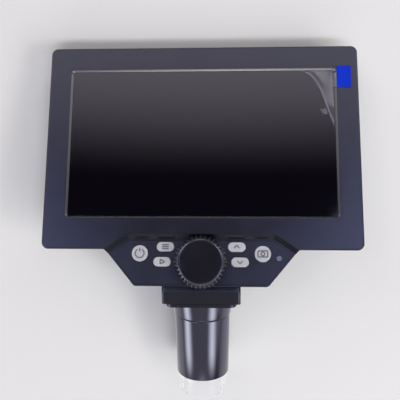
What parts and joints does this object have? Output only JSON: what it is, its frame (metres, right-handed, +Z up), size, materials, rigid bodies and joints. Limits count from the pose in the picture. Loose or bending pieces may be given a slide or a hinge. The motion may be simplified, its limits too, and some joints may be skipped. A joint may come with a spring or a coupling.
{
  "type": "lcd digital microscope head",
  "caption": "Digital microscope head: leaning screen housing with a hexagonal key panel, toothed focus knob, and an optical tube with a clear hood, held by its collar.",
  "frame": {"origin": "middle of the collar that a stand clamps, on the optical axis", "axes": "+Z up the optical axis from the specimen to the sensor, +X to the right of someone facing the screen, +Y away from them"},
  "size_m": [0.1824, 0.0801, 0.2044],
  "materials": {
    "housing_black": "fine-grained moulded ABS",
    "overlay_black": "satin moulded plate",
    "screen_glass": "polished",
    "film_clear": "clear protective film",
    "tab_blue": "printed film",
    "lcd_black": "dark, switched off",
    "backlight_white": "moulded tray",
    "key_silver": "painted key caps",
    "mat_grey": "silicone",
    "board_green": "solder mask",
    "chip_black": "moulded packages",
    "steel": "zinc plated",
    "brass": "turned",
    "knob_black": "satin moulded",
    "light_clear": "clear acrylic",
    "tube_black": "high gloss",
    "hood_clear": "clear polycarbonate",
    "lens_glass": "coated",
    "barrel_black": "black anodised",
    "carriage_black": "acetal",
    "cell_silver": "foil pouch",
    "foam_black": "foam tape",
    "led_yellow": "phosphor"
  },
  "bodies": {
    "head": {"front_bezel": "housing_black", "rear_cover": "housing_black", "neck_housing": "housing_black", "neck_flange": "housing_black", "control_overlay": "overlay_black", "cover_glass": "screen_glass", "screen_film": "film_clear", "film_pull_tab": "tab_blue", "lcd_cell": "lcd_black", "backlight_tray": "backlight_white", "key_mat": "mat_grey", "key_board": "board_green", "light_pipe": "light_clear", "shaft_bush": "brass", "main_board": "board_green", "board_chips": "chip_black", "charge_socket": "steel", "card_socket": "steel", "battery_pack": "cell_silver", "battery_pad": "foam_black", "cover_screws": "steel", "chin_screws": "steel", "key_screws": "steel", "main_screws": "steel", "neck_screws": "steel", "neck_low_screws": "steel", "clamp_collar": "tube_black", "lens_tube": "tube_black", "led_ring_board": "board_green", "light_chips": "led_yellow", "sensor_board": "board_green", "sensor_holder_block": "chip_black", "image_sensor": "lcd_black", "flange_screws": "steel", "sensor_screws": "steel"},
    "knob": {"focus_knob": "knob_black", "knob_cap": "knob_black", "knob_shaft": "steel", "shaft_clip": "steel", "pinion": "brass"},
    "carriage": {"lens_carriage": "carriage_black", "lens_barrel": "barrel_black", "objective_lens": "lens_glass", "rear_lens": "lens_glass"},
    "hood": {"clear_hood": "hood_clear"},
    "key_left_outer": {"button_left_outer": "key_silver"},
    "key_left_upper": {"button_left_upper": "key_silver"},
    "key_left_lower": {"button_left_lower": "key_silver"},
    "key_right_upper": {"button_right_upper": "key_silver"},
    "key_right_lower": {"button_right_lower": "key_silver"},
    "key_right_outer": {"button_right_outer": "key_silver"}
  },
  "joints": [
    {"name": "focus_turn", "type": "hinge", "parent": "head", "child": "knob", "pos_m": [0, -0.01437, 0.03058], "axis": [0, -0.9205, 0.3907], "range_deg": [-80, 80]},
    {"name": "focus_slide", "type": "slide", "parent": "head", "child": "carriage", "axis": [0, 0, 1], "range_m": [-0.00546, 0.00546]},
    {"name": "hood_pull", "type": "slide", "parent": "head", "child": "hood", "axis": [0, 0, -1], "range_m": [0, 0.012]},
    {"name": "key_left_outer_press", "type": "slide", "parent": "head", "child": "key_left_outer", "axis": [0, 0.9205, -0.3907], "range_m": [0, 0.0007], "stiffness_N_per_m": 800, "springref_m": -0.0005},
    {"name": "key_left_upper_press", "type": "slide", "parent": "head", "child": "key_left_upper", "axis": [0, 0.9205, -0.3907], "range_m": [0, 0.0007], "stiffness_N_per_m": 800, "springref_m": -0.0005},
    {"name": "key_left_lower_press", "type": "slide", "parent": "head", "child": "key_left_lower", "axis": [0, 0.9205, -0.3907], "range_m": [0, 0.0007], "stiffness_N_per_m": 800, "springref_m": -0.0005},
    {"name": "key_right_upper_press", "type": "slide", "parent": "head", "child": "key_right_upper", "axis": [0, 0.9205, -0.3907], "range_m": [0, 0.0007], "stiffness_N_per_m": 800, "springref_m": -0.0005},
    {"name": "key_right_lower_press", "type": "slide", "parent": "head", "child": "key_right_lower", "axis": [0, 0.9205, -0.3907], "range_m": [0, 0.0007], "stiffness_N_per_m": 800, "springref_m": -0.0005},
    {"name": "key_right_outer_press", "type": "slide", "parent": "head", "child": "key_right_outer", "axis": [0, 0.9205, -0.3907], "range_m": [0, 0.0007], "stiffness_N_per_m": 800, "springref_m": -0.0005}
  ],
  "couplings": [
    {"joint": "focus_turn", "follows": "focus_slide", "rad_per_m": 255.7}
  ]
}
